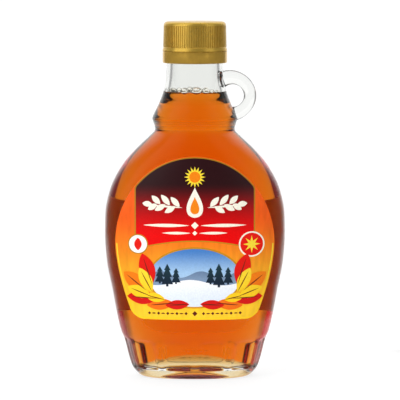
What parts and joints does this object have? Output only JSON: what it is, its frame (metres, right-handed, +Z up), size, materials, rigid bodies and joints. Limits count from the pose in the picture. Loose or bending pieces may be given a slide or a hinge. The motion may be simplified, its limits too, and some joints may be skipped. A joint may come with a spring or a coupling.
{
  "type": "maple syrup bottle",
  "caption": "Flat oval glass flask of amber maple syrup, with a loop handle on its neck, a ribbed gold screw cap, a tamper band, an arched front label and a back label.",
  "frame": {"origin": "middle of the foot, on the plane that the bottle stands on", "axes": "+Z up through the neck, +X towards the handle's side, +Y from the front label to the back label"},
  "size_m": [0.084, 0.0506, 0.1651],
  "materials": {
    "clear_glass": "clear, smooth",
    "amber_syrup": "clear amber liquid",
    "gold_plastic": "gold, satin",
    "front_paper": "printed paper, orange to yellow",
    "back_paper": "printed paper, plain cream"
  },
  "bodies": {
    "root": {"glass_bottle": "clear_glass", "syrup": "amber_syrup", "cap": "gold_plastic", "tamper_band": "gold_plastic", "front_label": "front_paper", "back_label": "back_paper"}
  },
  "joints": []
}
